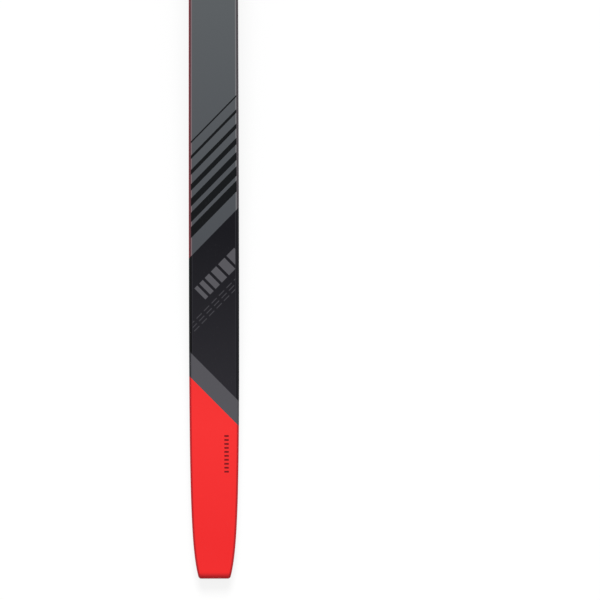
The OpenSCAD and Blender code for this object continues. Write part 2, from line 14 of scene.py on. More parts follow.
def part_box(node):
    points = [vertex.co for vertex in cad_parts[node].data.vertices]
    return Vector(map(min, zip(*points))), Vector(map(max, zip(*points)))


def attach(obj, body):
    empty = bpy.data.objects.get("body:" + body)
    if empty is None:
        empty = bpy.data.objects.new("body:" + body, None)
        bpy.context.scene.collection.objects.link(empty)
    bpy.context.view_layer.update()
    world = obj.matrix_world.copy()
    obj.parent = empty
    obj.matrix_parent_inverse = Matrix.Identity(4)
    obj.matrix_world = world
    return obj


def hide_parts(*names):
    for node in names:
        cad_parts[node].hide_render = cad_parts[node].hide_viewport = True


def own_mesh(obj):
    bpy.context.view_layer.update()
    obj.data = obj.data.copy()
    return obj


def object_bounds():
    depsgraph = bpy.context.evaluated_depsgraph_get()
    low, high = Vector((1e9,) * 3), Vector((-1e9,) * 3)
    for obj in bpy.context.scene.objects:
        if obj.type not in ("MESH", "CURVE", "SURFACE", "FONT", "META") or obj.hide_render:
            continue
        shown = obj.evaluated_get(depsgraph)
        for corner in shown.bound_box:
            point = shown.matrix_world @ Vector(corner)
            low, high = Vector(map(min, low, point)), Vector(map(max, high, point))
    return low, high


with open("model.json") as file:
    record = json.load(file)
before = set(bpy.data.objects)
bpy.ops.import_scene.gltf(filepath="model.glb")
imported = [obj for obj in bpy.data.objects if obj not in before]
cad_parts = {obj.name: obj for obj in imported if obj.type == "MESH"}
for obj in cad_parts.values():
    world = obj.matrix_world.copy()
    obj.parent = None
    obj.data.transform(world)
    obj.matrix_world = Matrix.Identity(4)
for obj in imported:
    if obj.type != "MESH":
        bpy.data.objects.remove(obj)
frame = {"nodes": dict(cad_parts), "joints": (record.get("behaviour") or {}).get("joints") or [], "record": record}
cad_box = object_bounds()
nodes = frame["nodes"]
joints = {joint["name"]: joint for joint in frame["joints"]}
bodies = frame["record"]["behaviour"]["bodies"]
body_of = {node: body for body in bodies for node in bodies[body]}

MM = 0.001
TAIL_Y = cad_box[0].y
SKI_LENGTH = cad_box[1].y - cad_box[0].y

# The toe unit's deck, under the seat of the boot's bar, and the lever's hinge and its pin.
DECK_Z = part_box("bar_seat")[0].z
HINGE_Y, HINGE_Z = joints["lever_hinge"]["pos_m"][1:]
PIN_LOW, PIN_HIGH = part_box("hinge_pin")
PIN_R = (PIN_HIGH.z - PIN_LOW.z) / 2

# Framing of the photograph: its size, its scale, and where the ski's middle line and tail end lie in it.
PHOTO_PX = 600
PX = 0.858 * MM
MIDDLE_PX = 214.1
TAIL_END_PX = 578.4
CAMERA_UP = 20.0
CAMERA_SIGHT = 10 * CAMERA_UP
CAMERA_ROLL = math.radians(-0.1)
SENSOR_MM = 36.0

# Light: a soft sun from the tip's side and an even white sky, which together light a level surface at 1.
SUN_TILT = math.radians(48)
SUN_SOFTNESS = math.radians(28)
SKY_STRENGTH = 0.46
SUN_STRENGTH = (1 - SKY_STRENGTH) * math.pi / math.cos(SUN_TILT)
FLOOR_SIZE = 60.0
FLOOR_DROP = 0.1 * MM
FLOOR_SHARE = 0.2
FLOOR_GLOW = 0.82
WHITE = (1.0, 1.0, 1.0, 1.0)


# Node building

def srgb(*levels):
    """The linear colour of a display colour's red, green and blue levels, from 0 to 255."""
    shares = [level / 255 for level in levels]
    linear = [s / 12.92 if s <= 0.04045 else ((s + 0.055) / 1.055) ** 2.4 for s in shares]
    return (*linear, 1.0)


class Nodes:
    """A node tree with short calls for the nodes that the materials here are made of."""

    def __init__(self, tree):
        self.tree = tree

    def new(self, kind):
        return self.tree.nodes.new("ShaderNode" + kind)

    def feed(self, socket, value):
        """Links a node's output to the socket, or sets the socket's own value."""
        if isinstance(value, bpy.types.NodeSocket):
            self.tree.links.new(value, socket)
        else:
            socket.default_value = value

    def wired(self, node, *values):
        """Feeds the inputs that the node uses, in their order, and returns the output that it uses."""
        used = [socket for socket in node.inputs if socket.enabled]
        for socket, value in zip(used, values):
            self.feed(socket, value)
        return next(socket for socket in node.outputs if socket.enabled)

    def math(self, operation, *values):
        node = self.new("Math")
        node.operation = operation
        return self.wired(node, *values)

    def less(self, first, second):
        return self.math("SUBTRACT", first, second)

    def most(self, first, *others):
        """The largest of the values, so 1 where any mask is 1."""
        for other in others:
            first = self.math("MAXIMUM", first, other)
        return first

    def product(self, first, *others):
        """The product of the values, so 1 where every mask is 1."""
        for other in others:
            first = self.math("MULTIPLY", first, other)
        return first

    def ramp(self, value, low, high, start=0.0, stop=1.0, clamp=True):
        """start at low, stop at high, straight between, and level outside them if clamped."""
        node = self.new("MapRange")
        node.clamp = clamp
        return self.wired(node, value, low, high, start, stop)

    def mix(self, factor, first, second):
        node = self.new("Mix")
        node.data_type = "RGBA"
        return self.wired(node, factor, first, second)

    def seen_directly(self):
        """1 for rays from the camera, off gloss or through glass, 0 for light that falls on things."""
        path = self.new("LightPath").outputs
        return self.most(path["Is Camera Ray"], path["Is Glossy Ray"], path["Is Transmission Ray"])


# Nearly all of a noise lies between its foot and its top, and most of it between its low and its high.
NOISE_FOOT = 0.28
NOISE_LOW = 0.4
NOISE_MIDDLE = 0.5
NOISE_HIGH = 0.6
NOISE_TOP = 0.72

# Soft edges: of patches, in the noise's own values, and of print.
PATCH_SOFT = 0.08
PATCH_DETAIL = 4.0
PRINT_SOFT = 0.2 * MM


class Finish(Nodes):
    """A surface material round one shader."""

    def __init__(self, name):
        self.material = bpy.data.materials.new(name)
        self.material.use_nodes = True
        super().__init__(self.material.node_tree)
        self.shader = self.tree.nodes["Principled BSDF"]
        self.place = self.new("TexCoord").outputs["Object"]

    def set(self, **inputs):
        """Feeds the shader's inputs, named in lower case with underscores."""
        for name, value in inputs.items():
            wanted = name.replace("_", " ")
            socket = next(s for s in self.shader.inputs if s.name.lower() == wanted)
            self.feed(socket, value)

    def axes(self):
        """The place on the piece at rest, as x, y and z in the frame's axes."""
        node = self.new("SeparateXYZ")
        self.feed(node.inputs[0], self.place)
        return node.outputs

    def noise(self, size, detail=2.0):
        """Noise from 0 to 1 with marks of about the given size, one number or one for each axis."""
        sizes = size if isinstance(size, tuple) else (size, size, size)
        stretch = self.new("Mapping")
        self.feed(stretch.inputs["Vector"], self.place)
        stretch.inputs["Scale"].default_value = [1 / axis for axis in sizes]
        node = self.new("TexNoise")
        self.feed(node.inputs["Vector"], stretch.outputs[0])
        node.inputs["Scale"].default_value = 1.0
        node.inputs["Detail"].default_value = detail
        return node.outputs["Fac"]

    def spread(self, noise, start=0.0, stop=1.0):
        """start to stop over nearly all of a noise, and on past them without a kink."""
        return self.ramp(noise, NOISE_FOOT, NOISE_TOP, start, stop, clamp=False)

    def crests(self, noise, strength):
        """0 below a noise's middle, and the strength at its top."""
        return self.ramp(noise, NOISE_MIDDLE, NOISE_TOP, 0.0, strength)

    def patches(self, size, share, strength):
        """The strength on patches or streaks of the given size, more of them the larger the share is."""
        edge = NOISE_TOP - share * (NOISE_TOP - NOISE_FOOT)
        low, high = edge - PATCH_SOFT / 2, edge + PATCH_SOFT / 2
        return self.ramp(self.noise(size, PATCH_DETAIL), low, high, 0.0, strength)

    def under(self, value, limit):
        """1 where the value is under the limit, with a soft printed edge."""
        return self.ramp(value, limit - PRINT_SOFT / 2, limit + PRINT_SOFT / 2, 1.0, 0.0)

    def between(self, value, low, high):
        return self.less(self.under(value, high), self.under(value, low))

    def repeated(self, value, pitch):
        """The value, starting again from 0 at every pitch."""
        return self.math("FLOORED_MODULO", value, pitch)

    def attribute(self, name):
        node = self.new("Attribute")
        node.attribute_name = name
        return node.outputs["Fac"]

    def bump(self, height, depth):
        node = self.new("Bump")
        self.feed(node.inputs["Height"], height)
        node.inputs["Distance"].default_value = depth
        self.set(normal=node.outputs[0])


# Stage

def add_object(name, data):
    thing = bpy.data.objects.new(name, data)
    bpy.context.scene.collection.objects.link(thing)
    return thing


def make_camera():
    """A far camera straight above, so that the view is nearly without perspective."""
    data = bpy.data.cameras.new("camera")
    data.sensor_width = SENSOR_MM
    data.lens = SENSOR_MM * CAMERA_UP / (PHOTO_PX * PX)
    data.clip_end = CAMERA_SIGHT
    camera = add_object("camera", data)
    across = (PHOTO_PX / 2 - MIDDLE_PX) * PX
    along = TAIL_Y + (TAIL_END_PX - PHOTO_PX / 2) * PX
    camera.location = (across, along, CAMERA_UP)
    camera.rotation_euler = (0.0, 0.0, CAMERA_ROLL)
    bpy.context.scene.camera = camera


def make_sun():
    data = bpy.data.lights.new("sun", "SUN")
    data.energy = SUN_STRENGTH
    data.angle = SUN_SOFTNESS
    sun = add_object("sun", data)
    sun.rotation_euler = (-SUN_TILT, 0.0, 0.0)


def make_sky():
    """A sky that lights at SKY_STRENGTH and is white where it is seen or mirrored."""
    world = bpy.data.worlds.new("sky")
    world.use_nodes = True
    bpy.context.scene.world = world
    sky = Nodes(world.node_tree)
    background = world.node_tree.nodes["Background"]
    background.inputs["Color"].default_value = WHITE
    sky.feed(background.inputs["Strength"], sky.ramp(sky.seen_directly(), 0.0, 1.0, SKY_STRENGTH, 1.0))


def floor_finish():
    """A floor that looks white where it is seen, shows the shadow on it, and is clear from below."""
    floor = Finish("floor_white")
    grey = (FLOOR_SHARE, FLOOR_SHARE, FLOOR_SHARE, 1.0)
    glow = floor.product(floor.seen_directly(), FLOOR_GLOW)
    floor.set(base_color=grey, roughness=1.0, specular_ior_level=0.0)
    floor.set(emission_color=WHITE, emission_strength=glow)
    choice = floor.wired(floor.new("MixShader"), floor.new("NewGeometry").outputs["Backfacing"],
                         floor.shader.outputs[0], floor.new("BsdfTransparent").outputs[0])
    floor.feed(floor.tree.nodes["Material Output"].inputs["Surface"], choice)
    return floor.material


def make_floor():
    half = FLOOR_SIZE / 2
    corners = [(-half, -half), (half, -half), (half, half), (-half, half)]
    mesh = bpy.data.meshes.new("floor")
    mesh.from_pydata([(x, y, -FLOOR_DROP) for x, y in corners], [], [(0, 1, 2, 3)])
    mesh.materials.append(floor_finish())
    add_object("floor", mesh)


# Pieces

# Edges sharper than this are rounded, by at most a share of the room beside them.
SHARP_EDGE = math.radians(30)
ROUND_STEPS = 3
ROUND_SHARE = 0.42

# Faces this flat lie level, lines that turn less run on, and a face whose normal rises more looks up.
FLAT = math.radians(0.5)
RUNS_ON = math.radians(40)
UPWARD = 0.7

# Shading breaks where faces meet at more than the crease, and points this close are one.
CREASE = math.radians(32)
SAME_PLACE = 0.01 * MM


def add_piece(word, node, build, material):
    """A built piece in place of a CAD node, named after it, on its body and with its slot."""
    name = f"{word}_{node}"
    mesh = bpy.data.meshes.new(name)
    build.to_mesh(mesh)
    build.free()
    mesh.shade_smooth()
    mesh.set_sharp_from_angle(angle=CREASE)
    mesh.materials.append(material)
    piece = add_object(name, mesh)
    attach(piece, body_of[node])
    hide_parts(node)
    return piece


def dress(material, *names):
    """Gives CAD nodes that stay as they are a finish of their own."""
    for name in names:
        for holder in nodes[name].material_slots:
            holder.link = "OBJECT"
            holder.material = material


def welded(node):
    """A CAD node's mesh with each corner once."""
    build = bmesh.new()
    build.from_mesh(nodes[node].data)
    bmesh.ops.remove_doubles(build, verts=build.verts, dist=SAME_PLACE)
    return build


def is_sharp(line):
    return line.is_manifold and line.calc_face_angle() > SHARP_EDGE


def level_edges(face):
    """The sharp edges round a face and round the faces that lie level with it."""
    faces = [face]
    lines = []
    for member in faces:
        for line in member.edges:
            if is_sharp(line):
                lines.append(line)
                continue
            for other in line.link_faces:
                if other not in faces and other.normal.angle(face.normal) < FLAT:
                    faces.append(other)
    return lines


def room_beside(line, face):
    """The least distance on a face's level, at right angles from an edge to the next one."""
    start, stop = (corner.co for corner in line.verts)
    along = (stop - start).normalized()
    aside = face.normal.cross(along)
    length = line.calc_length()
    least = math.inf
    for other in level_edges(face):
        if set(other.verts) & set(line.verts):
            continue
        ends = [corner.co - start for corner in other.verts]
        (u0, v0), (u1, v1) = sorted((end.dot(along), end.dot(aside)) for end in ends)
        if u1 < SAME_PLACE or u0 > length - SAME_PLACE:
            continue
        lean = (v1 - v0) / max(u1 - u0, SAME_PLACE)
        for u in (max(u0, 0.0), min(u1, length)):
            least = min(least, abs(v0 + lean * (u - u0)))
    return least


def lines_onward(line, layer):
    """The weighed edges that an edge runs on into, without a corner."""
    for corner in line.verts:
        way = corner.co - line.other_vert(corner).co
        for other in corner.link_edges:
            onward = other.other_vert(corner).co - corner.co
            if other is not line and other[layer] and way.angle(onward) < RUNS_ON:
                yield other


def even_out(build, layer):
    """Gives the edges of one unbroken line the least rounding among them."""
    done = set()
    for line in sorted((line for line in build.edges if line[layer]), key=lambda line: line[layer]):
        run = [] if line in done else [line]
        for member in run:
            done.add(member)
            member[layer] = line[layer]
            run.extend(other for other in lines_onward(member, layer) if other not in done)


def weigh_edges(build, edge, crown):
    """Writes each sharp edge's rounding, as a share of the widest one, which it returns."""
    widest = max(edge, crown)
    layer = build.edges.layers.float.new("bevel_weight_edge")
    for line in filter(is_sharp, build.edges):
        above_deck = all(corner.co.z > DECK_Z - SAME_PLACE for corner in line.verts)
        looks_up = any(face.normal.z > UPWARD for face in line.link_faces)
        wanted = widest if line.is_convex and above_deck and looks_up else edge
        room = min(room_beside(line, face) for face in line.link_faces)
        line[layer] = min(wanted, ROUND_SHARE * room) / widest
    even_out(build, layer)
    return widest


def is_worn_and_highlit(vertex):
    """Whether a corner lies within the rounding of an edge that stands out."""
    bulge = sum(line.calc_face_angle_signed(0.0) for line in vertex.link_edges)
    return bulge > 0 and all(face.material_index for face in vertex.link_faces)


def round_edges(build, edge, crown=0.0):
    """Rounds the sharp edges by edge, or by crown above the deck where that is wider.

    Writes the rounding of edges that stand out, where the finishes paint a paler colour: partly because such edges
    are worn first, and partly as a painted highlight where a rounded edge catches the light.
    """
    bmesh.ops.dissolve_limit(build, angle_limit=FLAT, verts=build.verts, edges=build.edges)
    widest = weigh_edges(build, edge, crown)
    mesh = bpy.data.meshes.new("unrounded")
    build.to_mesh(mesh)
    mesh.materials.append(None)
    mesh.materials.append(None)
    holder = add_object("unrounded", mesh)
    bevel = holder.modifiers.new("rounding", "BEVEL")
    bevel.limit_method = "WEIGHT"
    bevel.width = widest
    bevel.segments = ROUND_STEPS
    bevel.use_clamp_overlap = False
    bevel.loop_slide = False
    bevel.material = 1
    made = holder.evaluated_get(bpy.context.evaluated_depsgraph_get())
    build.clear()
    build.from_mesh(made.to_mesh())
    made.to_mesh_clear()
    bpy.data.objects.remove(holder)
    bpy.data.meshes.remove(mesh)
    wear_and_highlight = build.verts.layers.float.new("wear_and_highlight")
    for vertex in build.verts:
        vertex[wear_and_highlight] = float(is_worn_and_highlit(vertex))
    for face in build.faces:
        face.material_index = 0


def keep_flats(piece):
    """Shades flat faces flat, so that only the rounding between them turns from one to the other."""
    weighing = piece.modifiers.new("flats", "WEIGHTED_NORMAL")
    weighing.keep_sharp = True


def smoothed(word, material, *names):
    """Copies of CAD nodes, each shaded as one smooth skin."""
    for node in names:
        add_piece(word, node, welded(node), material)


def softened(word, material, edge, *names, crown=0.0, ribs=()):
    """Copies of CAD nodes with their sharp edges rounded, and ribs moulded onto them."""
    for node in names:
        build = welded(node)
        round_edges(build, edge, crown)
        for rib in ribs:
            add_rib(build, *rib)
        keep_flats(add_piece(word, node, build, material))


# Ribs have half round sections, which swell at these shares of the half width from each end.
RIB_SIDES = 8
RIB_ENDS = (0.05, 0.2, 0.5, 1.0)
RIB_SINK = 0.1 * MM


def arc(middle, radius, start, stop, steps):
    """Points along an arc, from the start angle to the stop angle."""
    angles = [start + (stop - start) * i / steps for i in range(steps + 1)]
    return [middle + radius * Vector((math.cos(angle), math.sin(angle))) for angle in angles]


def circle(middle, radius, sides):
    return arc(middle, radius, 0.0, 2 * math.pi, sides)[:-1]


def join_rings(build, rings):
    """Faces between rings of equal count, and over both ends."""
    count = len(rings[0])
    made = [build.faces.new(rings[0]), build.faces.new(rings[-1])]
    for first, second in zip(rings[:-1], rings[1:]):
        for i in range(count):
            k = (i + 1) % count
            made.append(build.faces.new((first[i], first[k], second[k], second[i])))
    bmesh.ops.recalc_face_normals(build, faces=made)


def add_rib(build, place, half_length, half_width, height):
    """A rounded rib along the place's own x axis, which stands up along its z axis."""
    outs = [half_width * out - half_length for out in RIB_ENDS]
    swells = [math.sqrt(1 - (1 - out) ** 2) for out in RIB_ENDS]
    brow = arc(Vector((0, 0)), 1.0, 0.0, math.pi, RIB_SIDES)
    rings = []
    for out, swell in zip(outs + [-out for out in reversed(outs)], swells + swells[::-1]):
        corners = [(out, half_width * swell * p.x, height * swell * p.y - RIB_SINK) for p in brow]
        rings.append([build.verts.new(place @ Vector(corner)) for corner in corners])
    join_rings(build, rings)


# Ski lines, read from the frame's own layers

STATION_STEP = 7 * MM
MICRON_DIGITS = 6


def corner_points(node):
    return np.array([vertex.co for vertex in nodes[node].data.vertices])


def stations():
    """Places along the ski where its layers have corners."""
    places = np.sort(corner_points("running_base")[:, 1])
    return places[np.insert(np.diff(places) > SAME_PLACE, 0, True)]


def sections(node):
    """The node's corners at each station, as the place with its x and z values."""
    points = corner_points(node)
    for place in stations():
        ring = points[abs(points[:, 1] - place) < SAME_PLACE]
        yield place, abs(ring[:, 0]), ring[:, 2]


def film_lines():
    """Place, half width, top height, edge height and thickness of the film at each station."""
    for place, across, height in sections("top_sheet"):
        half = across.max()
        edge = height[across > half - SAME_PLACE]
        yield place, half, height.max(), edge.max(), edge.max() - edge.min()


def base_lines():
    """Place, half width, underside, thickness, and the groove's half widths and bed, at each station."""
    for place, across, height in sections("running_base"):
        floor, groove, half = np.unique(across.round(MICRON_DIGITS))
        edge = height[across > half - SAME_PLACE]
        bed = height[across < floor + SAME_PLACE].min()
        yield place, half, edge.min(), edge.max() - edge.min(), groove, floor, bed


def eased(places, lines):
    """The lines at the given places, on smooth curves through the stations."""
    at = lines[:, 0]
    index = np.clip(np.searchsorted(at, places, side="right") - 1, 0, len(at) - 2)
    span = at[index + 1] - at[index]
    share = (places - at[index]) / span
    columns = [places]
    for column in lines[:, 1:].T:
        slope = np.gradient(column, at)
        start, stop = column[index], column[index + 1]
        rise_a, rise_b = slope[index] * span, slope[index + 1] * span
        columns.append(start + share * rise_a
                       + share ** 2 * (3 * (stop - start) - 2 * rise_a - rise_b)
                       + share ** 3 * (2 * (start - stop) + rise_a + rise_b))
    return np.array(columns).T


def closer_stations():
    """The stations, with more between them where they lie further apart than STATION_STEP."""
    places = stations()
    closer = []
    for start, stop in zip(places[:-1], places[1:]):
        count = math.ceil((stop - start) / STATION_STEP)
        closer.extend(np.linspace(start, stop, count, endpoint=False))
    return np.array(closer + [places[-1]])


# Skins along the ski

BAKE_ROWS = 6
BAKE_EDGE = 0.03


def rounded_corner(before, corner, after, reach, steps=4):
    """Points on a small curve that takes off the corner between two straight stretches."""
    before, corner, after = Vector(before), Vector(corner), Vector(after)
    start = corner + (before - corner).normalized() * reach
    stop = corner + (after - corner).normalized() * reach
    shares = [i / (steps - 1) for i in range(steps)]
    return [start * (1 - t) ** 2 + corner * 2 * t * (1 - t) + stop * t ** 2 for t in shares]


def closed_section(right):
    """A ring of a right half, from the middle above to the middle below, and its mirror image."""
    left = [Vector((-p.x, p.y)) for p in reversed(right)]
    return left + right[1:-1]


def fold_bake_map(build, rings):
    """Lays the long skin out in a few rows, so that a square picture holds it at an even scale."""
    count = len(rings[0])
    middle = rings[len(rings) // 2]
    steps = [(b.co - a.co).length for a, b in zip(middle, middle[1:] + middle[:1])]
    height = np.concatenate([[0], np.cumsum(steps)]) / sum(steps)
    row_length = SKI_LENGTH / BAKE_ROWS
    inside = 1 - 2 * BAKE_EDGE
    layer = build.loops.layers.uv.new("OFBake")
    build.verts.index_update()
    for face in build.faces:
        if len(face.verts) == count:
            continue
        row = min(int((face.calc_center_median().y - TAIL_Y) / row_length), BAKE_ROWS - 1)
        sides = [vertex.index % count for vertex in face.verts]
        closes = max(sides) - min(sides) > 1
        for loop, side in zip(face.loops, sides):
            along = (loop.vert.co.y - TAIL_Y - row * row_length) / row_length
            up = height[count if closes and side == 0 else side]
            loop[layer].uv = (BAKE_EDGE + inside * along, (row + BAKE_EDGE + inside * up) / BAKE_ROWS)


def make_skin(word, node, lines, half_section, material):
    """A skin through the half sections of the lines, in place of a CAD layer."""
    build = bmesh.new()
    inset = build.verts.layers.float.new("inset")
    rings = []
    for place, half, *sizes in eased(closer_stations(), np.array(list(lines))):
        section = closed_section(half_section(half, *sizes))
        rings.append([build.verts.new((p.x, place, p.y)) for p in section])
        for vertex in rings[-1]:
            vertex[inset] = half - abs(vertex.co.x)
    join_rings(build, rings)
    fold_bake_map(build, rings)
    add_piece(word, node, build, material)


# Sections of the printed film and of the running base

BEVEL_W = 1.7 * MM
SHOULDER_ROUND = 0.42 * MM
RIM_ROUND = 0.28 * MM
GROOVE_ROUND = 0.4 * MM
TOP_COLUMNS = (0.0, 0.35, 0.7)


def film_half_section(half, top, edge, thick):
    shoulder = (half - BEVEL_W, top)
    rim = (half, edge)
    foot = (half, edge - thick)
    flat = half - BEVEL_W - SHOULDER_ROUND
    line = [Vector((share * flat, top)) for share in TOP_COLUMNS]
    line += rounded_corner((0, top), shoulder, rim, SHOULDER_ROUND)
    line += rounded_corner(shoulder, rim, foot, RIM_ROUND)
    line += [Vector(foot), Vector((half - BEVEL_W, top - thick)), Vector((0, top - thick))]
    return line


def base_half_section(half, low, thick, groove, floor, bed):
    middle = (0, bed)
    floor_corner = (floor, bed)
    groove_corner = (groove, low)
    rim = (half, low)
    above = (half, low + thick)
    line = [Vector((x, z + thick)) for x, z in (middle, floor_corner, groove_corner, rim)]
    line += rounded_corner(above, rim, groove_corner, RIM_ROUND)
    line += rounded_corner(rim, groove_corner, floor_corner, GROOVE_ROUND)
    line += rounded_corner(groove_corner, floor_corner, middle, GROOVE_ROUND)
    return line + [Vector(middle)]


# Printed film. Places are distances from the tail end, less than 0 on the tip, and from the middle line.

GREY_REAR = srgb(80, 83, 88)
GREY_FORE = srgb(92, 96, 99)
BLACK_DEEP = srgb(21, 21, 26)
BLACK_SOFT = srgb(42, 41, 46)
STRIPE_GREY = srgb(88, 87, 92)
# Painted shade on the stripe field's left bevel.
STRIPE_BEVEL_SHADE = srgb(54, 53, 58)
RED_REAR = srgb(238, 44, 45)
RED_FORE = srgb(251, 53, 53)
# Painted shade on the red field's bevels and rounded tail end.
RED_BEVEL_SHADE = srgb(212, 40, 46)
CRIMSON = srgb(186, 30, 48)
# The red edge line's tint with painted shade, on the grey field's left bevel.
MAROON_SHADED_BEVEL = srgb(104, 60, 66)
# Painted shade on the grey field's right bevel.
GREY_BEVEL_SHADE = srgb(88, 83, 87)
# Painted shade on the black field's left bevel.
BLACK_BEVEL_SHADE = srgb(5, 5, 7)
# A painted highlight just inside the black field's bevels.
BLACK_PAINTED_HIGHLIGHT = srgb(45, 44, 49)
BAR_BLACK = srgb(18, 20, 22)
CHIP_GREY = srgb(92, 91, 96)
DASH_GREY = srgb(70, 69, 74)
TICK_RED = srgb(120, 24, 30)
DEEP_RED = srgb(176, 26, 33)
# Painted highlights just inside the grey field's bevels, on the right and on the left.
PAINTED_HIGHLIGHT = srgb(130, 130, 132)
WARM_PAINTED_HIGHLIGHT = srgb(134, 114, 118)
SCUFF = srgb(128, 128, 132)

RISE = 1.018
FALL = -1.01
RED_TO = 152.2 * MM
STRIPE_TO = 173.5 * MM
BLACK_TO = 296.5 * MM
MIRROR_AT = 793 * MM
GREY_FADE = (280 * MM, 500 * MM)
BLACK_FADE = (165 * MM, 300 * MM)
RED_FADE = (30 * MM, 130 * MM)

# Slanted bars, each narrower than the one before it, in the grey and on the tip.
GREY_BARS_FROM = 312 * MM
TIP_BARS_FROM = -60 * MM
BAR_PITCH = 13.5 * MM
BAR_FIRST = 9.5 * MM
BAR_STEP = 1.3 * MM
BAR_COUNT = 7

# Slanted chips in the black, each longer than the one before it.
CHIP_BAND = (247 * MM, 266 * MM)
CHIP_FROM = 232 * MM
CHIP_FIRST = 5 * MM
CHIP_GROWTH = 1.22
CHIP_GAP = 3.4 * MM
CHIP_COUNT = 6

# Dashed hairlines below the chips, and a column of ticks on the tail.
HAIR_FROM = 229 * MM
HAIR_PITCH = 4.4 * MM
HAIR_W = 1.1 * MM
HAIR_COUNT = 3
DASH_PITCH = 13 * MM
DASH_LENGTH = 9 * MM
TICK_X = (8.6 * MM, 12.4 * MM)
TICK_FROM = 91 * MM
TICK_PITCH = 3.4 * MM
TICK_W = 1.5 * MM
TICK_COUNT = 10

# Lines along the edges, as distances in from the outline: a printed crimson rim, painted highlight lines inside
# the bevels, and painted shade toward the rounded tail end.
HIGHLIGHT_INSET = (1.9 * MM, 2.65 * MM)
BLACK_HIGHLIGHT_INSET = (2.4 * MM, 3.2 * MM)
CRIMSON_INSET = 0.45 * MM
END_SHADE_FADE = (3.2 * MM, 5.2 * MM)
END_SHADE_SHARE = 0.7


class Print(Finish):
    """The printed film's own places and motifs. Ahead of the binding they mirror those behind it."""

    def __init__(self):
        super().__init__("printed_film")
        self.x, y, _ = self.axes()
        self.from_tail = self.less(y, TAIL_Y)
        self.s = self.less(MIRROR_AT, self.math("ABSOLUTE", self.less(self.from_tail, MIRROR_AT)))
        self.rising = self.less(self.s, self.product(self.x, RISE))
        self.falling = self.less(self.s, self.product(self.x, FALL))
        self.inset = self.attribute("inset")
        self.left = self.under(self.x, 0.0)

    def bars(self, along):
        """Bars from where along is 0, each narrower than the one before it."""
        bars = []
        for i in range(BAR_COUNT):
            start = i * BAR_PITCH
            bars.append(self.between(along, start, start + BAR_FIRST - i * BAR_STEP))
        return self.most(*bars)

    def chips(self):
        chips = []
        start, width = CHIP_FROM, CHIP_FIRST
        for _ in range(CHIP_COUNT):
            chips.append(self.between(self.falling, start, start + width))
            start += width + CHIP_GAP
            width *= CHIP_GROWTH
        return self.product(self.most(*chips), self.between(self.rising, *CHIP_BAND))

    def hairlines(self):
        rows = []
        for i in range(HAIR_COUNT):
            low = HAIR_FROM + i * HAIR_PITCH
            rows.append(self.between(self.rising, low, low + HAIR_W))
        dash = self.under(self.repeated(self.falling, DASH_PITCH), DASH_LENGTH)
        return self.product(self.most(*rows), dash)

    def ticks(self):
        along = self.less(self.s, TICK_FROM)
        row = self.between(along, 0.0, TICK_COUNT * TICK_PITCH)
        tick = self.under(self.repeated(along, TICK_PITCH), TICK_W)
        return self.product(self.between(self.x, *TICK_X), row, tick)

    def grey_field(self):
        grey = self.mix(self.ramp(self.s, *GREY_FADE), GREY_REAR, GREY_FORE)
        # A painted highlight just inside the bevels, warmer on the left.
        line = self.mix(self.left, PAINTED_HIGHLIGHT, WARM_PAINTED_HIGHLIGHT)
        grey = self.mix(self.between(self.inset, *HIGHLIGHT_INSET), grey, line)
        grey = self.mix(self.bars(self.less(self.rising, GREY_BARS_FROM)), grey, BAR_BLACK)
        # Painted shade on the bevels: neutral on the right, and on the left with the red edge line's tint.
        edge = self.mix(self.left, GREY_BEVEL_SHADE, MAROON_SHADED_BEVEL)
        grey = self.mix(self.under(self.inset, HIGHLIGHT_INSET[0]), grey, edge)
        rim = self.product(self.under(self.inset, CRIMSON_INSET), self.left)
        return self.mix(rim, grey, CRIMSON)

    def black_field(self):
        black = self.mix(self.ramp(self.s, *BLACK_FADE), BLACK_SOFT, BLACK_DEEP)
        black = self.mix(self.chips(), black, CHIP_GREY)
        black = self.mix(self.hairlines(), black, DASH_GREY)
        # A painted highlight just inside the bevels.
        black = self.mix(self.between(self.inset, *BLACK_HIGHLIGHT_INSET), black, BLACK_PAINTED_HIGHLIGHT)
        # Painted shade on the bevels, darkest on the left.
        edge = self.mix(self.left, BLACK_DEEP, BLACK_BEVEL_SHADE)
        return self.mix(self.under(self.inset, BLACK_HIGHLIGHT_INSET[0]), black, edge)

    def red_field(self):
        red = self.mix(self.ramp(self.s, *RED_FADE), RED_REAR, RED_FORE)
        red = self.mix(self.ticks(), red, TICK_RED)
        red = self.mix(self.bars(self.less(TIP_BARS_FROM, self.falling)), red, DEEP_RED)
        # Painted shade on the bevels and toward the rounded tail end.
        tail_end_shade = self.ramp(self.from_tail, *END_SHADE_FADE, END_SHADE_SHARE, 0.0)
        return self.mix(self.most(self.under(self.inset, BEVEL_W), tail_end_shade), red, RED_BEVEL_SHADE)

    def fields(self):
        """The coloured fields, from the middle of the ski outwards."""
        colour = self.mix(self.under(self.rising, BLACK_TO), self.grey_field(), self.black_field())
        # Painted shade on the stripe field's left bevel.
        edge = self.product(self.under(self.inset, BEVEL_W), self.left)
        stripe = self.mix(edge, STRIPE_GREY, STRIPE_BEVEL_SHADE)
        colour = self.mix(self.under(self.falling, STRIPE_TO), colour, stripe)
        return self.mix(self.under(self.falling, RED_TO), colour, self.red_field())


def film_finish():
    """The print, with painted shade on its bevels and rounded tail end and painted highlights inside the bevels,
    under a satin film with faint scuffs along it.
    """
    film = Print()
    scuffs = film.patches((0.25 * MM, 22 * MM, 0.25 * MM), share=0.05, strength=0.12)
    cloud = film.noise(35 * MM, detail=4.0)
    film.set(base_color=film.mix(scuffs, film.fields(), SCUFF), specular_ior_level=0.06)
    film.set(roughness=film.spread(cloud, 0.295, 0.365))
    film.bump(film.noise(1.6 * MM), depth=0.004 * MM)
    return film.material


# Finishes of the layers

